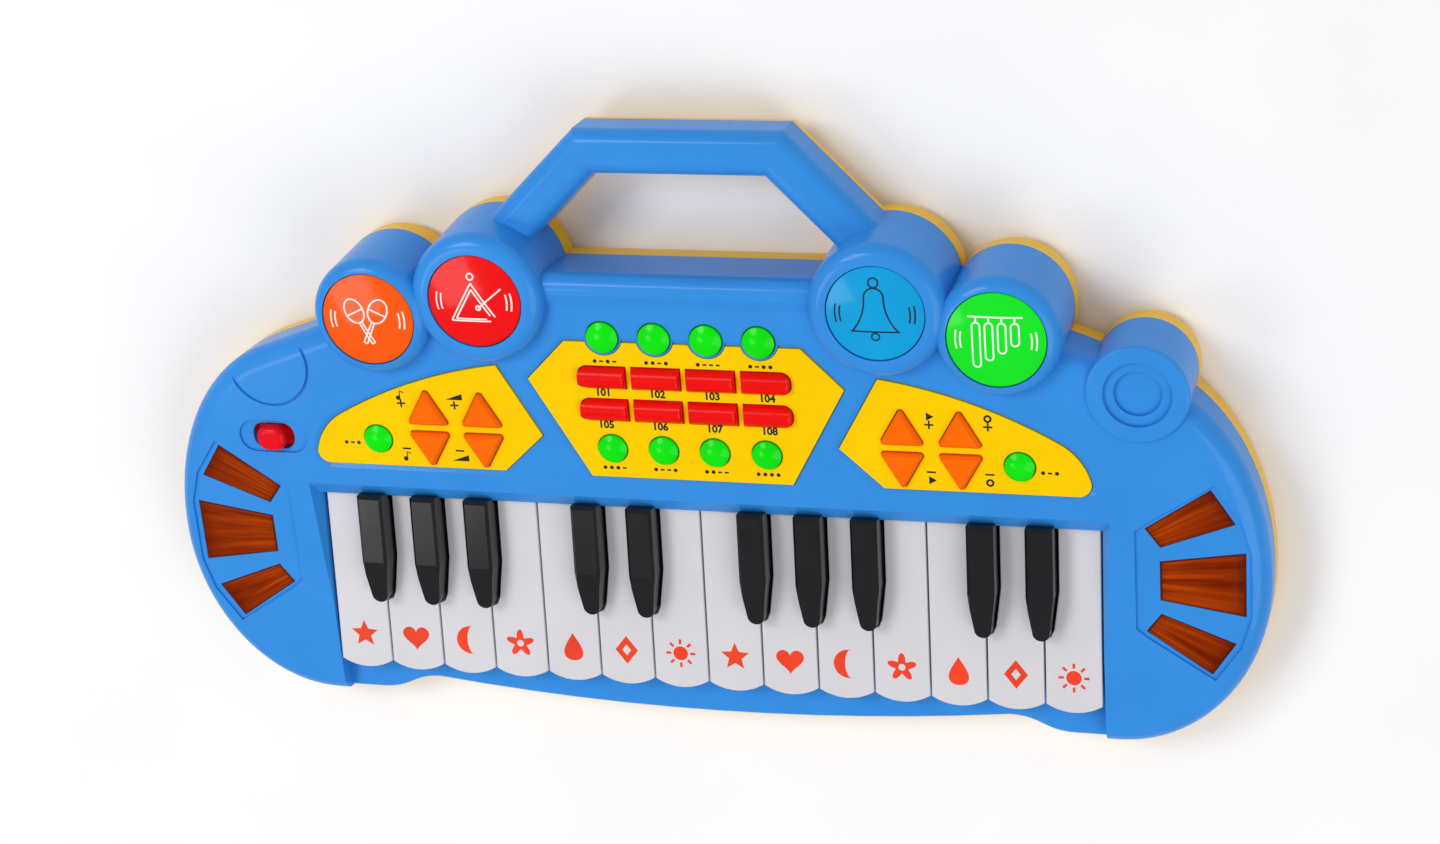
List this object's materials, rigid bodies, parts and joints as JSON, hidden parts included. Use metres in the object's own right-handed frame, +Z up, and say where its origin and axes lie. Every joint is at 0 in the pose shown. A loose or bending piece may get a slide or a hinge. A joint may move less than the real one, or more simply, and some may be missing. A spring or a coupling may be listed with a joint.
{
  "type": "toy piano",
  "caption": "Battery toy keyboard with hinged white and black keys, press buttons, round drum pads, light windows at both ends and a carrying handle on a rounded case.",
  "frame": {"origin": "on the table under the middle of the toy", "axes": "+X along the keyboard towards the high notes, +Y from the player towards the handle, +Z up"},
  "size_m": [0.354, 0.1948, 0.0408],
  "materials": {
    "case_blue": "glossy moulded sky-blue plastic",
    "case_yellow": "glossy moulded yellow plastic",
    "plate_yellow": "smooth printed yellow plate",
    "key_white": "glossy white plastic with small printed symbols",
    "key_black": "glossy black plastic",
    "drum_pad_orange": "translucent orange plastic",
    "drum_pad_red": "translucent red plastic",
    "drum_pad_blue": "translucent cyan-blue plastic",
    "drum_pad_green": "translucent green plastic",
    "button_red": "glossy red plastic",
    "button_orange": "satin orange plastic",
    "button_green": "glossy green plastic",
    "knob_red": "glossy red plastic",
    "window_amber": "translucent amber-brown plastic, ribbed",
    "cell_wrap": "plain printed cell wrap",
    "contact_steel": "nickel-plated spring steel",
    "speaker_black": "black painted frame with a bare magnet",
    "board_green": "green laminate",
    "mat_rubber": "soft grey silicone rubber",
    "screw_steel": "zinc-plated steel"
  },
  "bodies": {
    "case": {"top_shell": "case_blue", "bottom_shell": "case_yellow", "panel_plates": "plate_yellow", "light_windows": "window_amber", "battery_door": "case_yellow", "battery_cells": "cell_wrap", "battery_contacts": "contact_steel", "speaker": "speaker_black", "circuit_boards": "board_green", "contact_mats": "mat_rubber", "screws": "screw_steel"},
    "white_key_01": {"white_key_01": "key_white"},
    "white_key_02": {"white_key_02": "key_white"},
    "white_key_03": {"white_key_03": "key_white"},
    "white_key_04": {"white_key_04": "key_white"},
    "white_key_05": {"white_key_05": "key_white"},
    "white_key_06": {"white_key_06": "key_white"},
    "white_key_07": {"white_key_07": "key_white"},
    "white_key_08": {"white_key_08": "key_white"},
    "white_key_09": {"white_key_09": "key_white"},
    "white_key_10": {"white_key_10": "key_white"},
    "white_key_11": {"white_key_11": "key_white"},
    "white_key_12": {"white_key_12": "key_white"},
    "white_key_13": {"white_key_13": "key_white"},
    "white_key_14": {"white_key_14": "key_white"},
    "black_key_01": {"black_key_01": "key_black"},
    "black_key_02": {"black_key_02": "key_black"},
    "black_key_03": {"black_key_03": "key_black"},
    "black_key_04": {"black_key_04": "key_black"},
    "black_key_05": {"black_key_05": "key_black"},
    "black_key_06": {"black_key_06": "key_black"},
    "black_key_07": {"black_key_07": "key_black"},
    "black_key_08": {"black_key_08": "key_black"},
    "black_key_09": {"black_key_09": "key_black"},
    "black_key_10": {"black_key_10": "key_black"},
    "drum_pad_orange": {"drum_pad_orange": "drum_pad_orange"},
    "drum_pad_red": {"drum_pad_red": "drum_pad_red"},
    "drum_pad_blue": {"drum_pad_blue": "drum_pad_blue"},
    "drum_pad_green": {"drum_pad_green": "drum_pad_green"},
    "red_button_row_upper": {"red_button_row_upper": "button_red"},
    "red_button_row_lower": {"red_button_row_lower": "button_red"},
    "triangle_button_left_1": {"triangle_button_left_1": "button_orange"},
    "triangle_button_left_2": {"triangle_button_left_2": "button_orange"},
    "triangle_button_left_3": {"triangle_button_left_3": "button_orange"},
    "triangle_button_left_4": {"triangle_button_left_4": "button_orange"},
    "triangle_button_right_1": {"triangle_button_right_1": "button_orange"},
    "triangle_button_right_2": {"triangle_button_right_2": "button_orange"},
    "triangle_button_right_3": {"triangle_button_right_3": "button_orange"},
    "triangle_button_right_4": {"triangle_button_right_4": "button_orange"},
    "green_button_upper_1": {"green_button_upper_1": "button_green"},
    "green_button_upper_2": {"green_button_upper_2": "button_green"},
    "green_button_upper_3": {"green_button_upper_3": "button_green"},
    "green_button_upper_4": {"green_button_upper_4": "button_green"},
    "green_button_lower_1": {"green_button_lower_1": "button_green"},
    "green_button_lower_2": {"green_button_lower_2": "button_green"},
    "green_button_lower_3": {"green_button_lower_3": "button_green"},
    "green_button_lower_4": {"green_button_lower_4": "button_green"},
    "green_button_left": {"green_button_left": "button_green"},
    "green_button_right": {"green_button_right": "button_green"},
    "power_switch_knob": {"power_switch_knob": "knob_red"}
  },
  "joints": [
    {"name": "white_key_01_hinge", "type": "hinge", "parent": "case", "child": "white_key_01", "pos_m": [-0.117, -0.0166, 0.0155], "axis": [1, 0, 0], "range_deg": [0, 3], "stiffness_Nm_per_rad": 0.5, "springref_deg": -3.44},
    {"name": "black_key_01_hinge", "type": "hinge", "parent": "case", "child": "black_key_01", "pos_m": [-0.108, -0.0166, 0.0155], "axis": [1, 0, 0], "range_deg": [0, 3], "stiffness_Nm_per_rad": 0.5, "springref_deg": -3.44},
    {"name": "drum_pad_orange_press", "type": "slide", "parent": "case", "child": "drum_pad_orange", "axis": [0, 0.0993, -0.9951], "range_m": [0, 0.002], "stiffness_N_per_m": 500, "springref_m": -0.001},
    {"name": "power_switch_slide", "type": "slide", "parent": "case", "child": "power_switch_knob", "axis": [1, 0, 0], "range_m": [-0.002, 0.002]},
    {"name": "red_button_row_upper_press", "type": "slide", "parent": "case", "child": "red_button_row_upper", "axis": [0, 0.0993, -0.9951], "range_m": [0, 0.0016], "stiffness_N_per_m": 500, "springref_m": -0.001},
    {"name": "triangle_button_left_1_press", "type": "slide", "parent": "case", "child": "triangle_button_left_1", "axis": [0, 0.0993, -0.9951], "range_m": [0, 0.0016], "stiffness_N_per_m": 400, "springref_m": -0.0008},
    {"name": "green_button_upper_1_press", "type": "slide", "parent": "case", "child": "green_button_upper_1", "axis": [0, 0.0993, -0.9951], "range_m": [0, 0.0016], "stiffness_N_per_m": 400, "springref_m": -0.0008},
    {"name": "white_key_02_hinge", "type": "hinge", "parent": "case", "child": "white_key_02", "pos_m": [-0.099, -0.0166, 0.0155], "axis": [1, 0, 0], "range_deg": [0, 3], "stiffness_Nm_per_rad": 0.5, "springref_deg": -3.44},
    {"name": "white_key_03_hinge", "type": "hinge", "parent": "case", "child": "white_key_03", "pos_m": [-0.081, -0.0166, 0.0155], "axis": [1, 0, 0], "range_deg": [0, 3], "stiffness_Nm_per_rad": 0.5, "springref_deg": -3.44},
    {"name": "white_key_04_hinge", "type": "hinge", "parent": "case", "child": "white_key_04", "pos_m": [-0.063, -0.0166, 0.0155], "axis": [1, 0, 0], "range_deg": [0, 3], "stiffness_Nm_per_rad": 0.5, "springref_deg": -3.44},
    {"name": "white_key_05_hinge", "type": "hinge", "parent": "case", "child": "white_key_05", "pos_m": [-0.045, -0.0166, 0.0155], "axis": [1, 0, 0], "range_deg": [0, 3], "stiffness_Nm_per_rad": 0.5, "springref_deg": -3.44},
    {"name": "white_key_06_hinge", "type": "hinge", "parent": "case", "child": "white_key_06", "pos_m": [-0.027, -0.0166, 0.0155], "axis": [1, 0, 0], "range_deg": [0, 3], "stiffness_Nm_per_rad": 0.5, "springref_deg": -3.44},
    {"name": "white_key_07_hinge", "type": "hinge", "parent": "case", "child": "white_key_07", "pos_m": [-0.009, -0.0166, 0.0155], "axis": [1, 0, 0], "range_deg": [0, 3], "stiffness_Nm_per_rad": 0.5, "springref_deg": -3.44},
    {"name": "white_key_08_hinge", "type": "hinge", "parent": "case", "child": "white_key_08", "pos_m": [0.009, -0.0166, 0.0155], "axis": [1, 0, 0], "range_deg": [0, 3], "stiffness_Nm_per_rad": 0.5, "springref_deg": -3.44},
    {"name": "white_key_09_hinge", "type": "hinge", "parent": "case", "child": "white_key_09", "pos_m": [0.027, -0.0166, 0.0155], "axis": [1, 0, 0], "range_deg": [0, 3], "stiffness_Nm_per_rad": 0.5, "springref_deg": -3.44},
    {"name": "white_key_10_hinge", "type": "hinge", "parent": "case", "child": "white_key_10", "pos_m": [0.045, -0.0166, 0.0155], "axis": [1, 0, 0], "range_deg": [0, 3], "stiffness_Nm_per_rad": 0.5, "springref_deg": -3.44},
    {"name": "white_key_11_hinge", "type": "hinge", "parent": "case", "child": "white_key_11", "pos_m": [0.063, -0.0166, 0.0155], "axis": [1, 0, 0], "range_deg": [0, 3], "stiffness_Nm_per_rad": 0.5, "springref_deg": -3.44},
    {"name": "white_key_12_hinge", "type": "hinge", "parent": "case", "child": "white_key_12", "pos_m": [0.081, -0.0166, 0.0155], "axis": [1, 0, 0], "range_deg": [0, 3], "stiffness_Nm_per_rad": 0.5, "springref_deg": -3.44},
    {"name": "white_key_13_hinge", "type": "hinge", "parent": "case", "child": "white_key_13", "pos_m": [0.099, -0.0166, 0.0155], "axis": [1, 0, 0], "range_deg": [0, 3], "stiffness_Nm_per_rad": 0.5, "springref_deg": -3.44},
    {"name": "white_key_14_hinge", "type": "hinge", "parent": "case", "child": "white_key_14", "pos_m": [0.117, -0.0166, 0.0155], "axis": [1, 0, 0], "range_deg": [0, 3], "stiffness_Nm_per_rad": 0.5, "springref_deg": -3.44},
    {"name": "black_key_02_hinge", "type": "hinge", "parent": "case", "child": "black_key_02", "pos_m": [-0.09, -0.0166, 0.0155], "axis": [1, 0, 0], "range_deg": [0, 3], "stiffness_Nm_per_rad": 0.5, "springref_deg": -3.44},
    {"name": "black_key_03_hinge", "type": "hinge", "parent": "case", "child": "black_key_03", "pos_m": [-0.072, -0.0166, 0.0155], "axis": [1, 0, 0], "range_deg": [0, 3], "stiffness_Nm_per_rad": 0.5, "springref_deg": -3.44},
    {"name": "black_key_04_hinge", "type": "hinge", "parent": "case", "child": "black_key_04", "pos_m": [-0.036, -0.0166, 0.0155], "axis": [1, 0, 0], "range_deg": [0, 3], "stiffness_Nm_per_rad": 0.5, "springref_deg": -3.44},
    {"name": "black_key_05_hinge", "type": "hinge", "parent": "case", "child": "black_key_05", "pos_m": [-0.018, -0.0166, 0.0155], "axis": [1, 0, 0], "range_deg": [0, 3], "stiffness_Nm_per_rad": 0.5, "springref_deg": -3.44},
    {"name": "black_key_06_hinge", "type": "hinge", "parent": "case", "child": "black_key_06", "pos_m": [0.018, -0.0166, 0.0155], "axis": [1, 0, 0], "range_deg": [0, 3], "stiffness_Nm_per_rad": 0.5, "springref_deg": -3.44},
    {"name": "black_key_07_hinge", "type": "hinge", "parent": "case", "child": "black_key_07", "pos_m": [0.036, -0.0166, 0.0155], "axis": [1, 0, 0], "range_deg": [0, 3], "stiffness_Nm_per_rad": 0.5, "springref_deg": -3.44},
    {"name": "black_key_08_hinge", "type": "hinge", "parent": "case", "child": "black_key_08", "pos_m": [0.054, -0.0166, 0.0155], "axis": [1, 0, 0], "range_deg": [0, 3], "stiffness_Nm_per_rad": 0.5, "springref_deg": -3.44},
    {"name": "black_key_09_hinge", "type": "hinge", "parent": "case", "child": "black_key_09", "pos_m": [0.09, -0.0166, 0.0155], "axis": [1, 0, 0], "range_deg": [0, 3], "stiffness_Nm_per_rad": 0.5, "springref_deg": -3.44},
    {"name": "black_key_10_hinge", "type": "hinge", "parent": "case", "child": "black_key_10", "pos_m": [0.108, -0.0166, 0.0155], "axis": [1, 0, 0], "range_deg": [0, 3], "stiffness_Nm_per_rad": 0.5, "springref_deg": -3.44},
    {"name": "drum_pad_red_press", "type": "slide", "parent": "case", "child": "drum_pad_red", "axis": [0, 0.0993, -0.9951], "range_m": [0, 0.002], "stiffness_N_per_m": 500, "springref_m": -0.001},
    {"name": "drum_pad_blue_press", "type": "slide", "parent": "case", "child": "drum_pad_blue", "axis": [0, 0.0993, -0.9951], "range_m": [0, 0.002], "stiffness_N_per_m": 500, "springref_m": -0.001},
    {"name": "drum_pad_green_press", "type": "slide", "parent": "case", "child": "drum_pad_green", "axis": [0, 0.0993, -0.9951], "range_m": [0, 0.002], "stiffness_N_per_m": 500, "springref_m": -0.001},
    {"name": "red_button_row_lower_press", "type": "slide", "parent": "case", "child": "red_button_row_lower", "axis": [0, 0.0993, -0.9951], "range_m": [0, 0.0016], "stiffness_N_per_m": 500, "springref_m": -0.001},
    {"name": "triangle_button_left_2_press", "type": "slide", "parent": "case", "child": "triangle_button_left_2", "axis": [0, 0.0993, -0.9951], "range_m": [0, 0.0016], "stiffness_N_per_m": 400, "springref_m": -0.0008},
    {"name": "triangle_button_left_3_press", "type": "slide", "parent": "case", "child": "triangle_button_left_3", "axis": [0, 0.0993, -0.9951], "range_m": [0, 0.0016], "stiffness_N_per_m": 400, "springref_m": -0.0008},
    {"name": "triangle_button_left_4_press", "type": "slide", "parent": "case", "child": "triangle_button_left_4", "axis": [0, 0.0993, -0.9951], "range_m": [0, 0.0016], "stiffness_N_per_m": 400, "springref_m": -0.0008},
    {"name": "triangle_button_right_1_press", "type": "slide", "parent": "case", "child": "triangle_button_right_1", "axis": [0, 0.0993, -0.9951], "range_m": [0, 0.0016], "stiffness_N_per_m": 400, "springref_m": -0.0008},
    {"name": "triangle_button_right_2_press", "type": "slide", "parent": "case", "child": "triangle_button_right_2", "axis": [0, 0.0993, -0.9951], "range_m": [0, 0.0016], "stiffness_N_per_m": 400, "springref_m": -0.0008},
    {"name": "triangle_button_right_3_press", "type": "slide", "parent": "case", "child": "triangle_button_right_3", "axis": [0, 0.0993, -0.9951], "range_m": [0, 0.0016], "stiffness_N_per_m": 400, "springref_m": -0.0008},
    {"name": "triangle_button_right_4_press", "type": "slide", "parent": "case", "child": "triangle_button_right_4", "axis": [0, 0.0993, -0.9951], "range_m": [0, 0.0016], "stiffness_N_per_m": 400, "springref_m": -0.0008},
    {"name": "green_button_upper_2_press", "type": "slide", "parent": "case", "child": "green_button_upper_2", "axis": [0, 0.0993, -0.9951], "range_m": [0, 0.0016], "stiffness_N_per_m": 400, "springref_m": -0.0008},
    {"name": "green_button_upper_3_press", "type": "slide", "parent": "case", "child": "green_button_upper_3", "axis": [0, 0.0993, -0.9951], "range_m": [0, 0.0016], "stiffness_N_per_m": 400, "springref_m": -0.0008},
    {"name": "green_button_upper_4_press", "type": "slide", "parent": "case", "child": "green_button_upper_4", "axis": [0, 0.0993, -0.9951], "range_m": [0, 0.0016], "stiffness_N_per_m": 400, "springref_m": -0.0008},
    {"name": "green_button_lower_1_press", "type": "slide", "parent": "case", "child": "green_button_lower_1", "axis": [0, 0.0993, -0.9951], "range_m": [0, 0.0016], "stiffness_N_per_m": 400, "springref_m": -0.0008},
    {"name": "green_button_lower_2_press", "type": "slide", "parent": "case", "child": "green_button_lower_2", "axis": [0, 0.0993, -0.9951], "range_m": [0, 0.0016], "stiffness_N_per_m": 400, "springref_m": -0.0008},
    {"name": "green_button_lower_3_press", "type": "slide", "parent": "case", "child": "green_button_lower_3", "axis": [0, 0.0993, -0.9951], "range_m": [0, 0.0016], "stiffness_N_per_m": 400, "springref_m": -0.0008},
    {"name": "green_button_lower_4_press", "type": "slide", "parent": "case", "child": "green_button_lower_4", "axis": [0, 0.0993, -0.9951], "range_m": [0, 0.0016], "stiffness_N_per_m": 400, "springref_m": -0.0008},
    {"name": "green_button_left_press", "type": "slide", "parent": "case", "child": "green_button_left", "axis": [0, 0.0993, -0.9951], "range_m": [0, 0.0016], "stiffness_N_per_m": 400, "springref_m": -0.0008},
    {"name": "green_button_right_press", "type": "slide", "parent": "case", "child": "green_button_right", "axis": [0, 0.0993, -0.9951], "range_m": [0, 0.0016], "stiffness_N_per_m": 400, "springref_m": -0.0008}
  ]
}
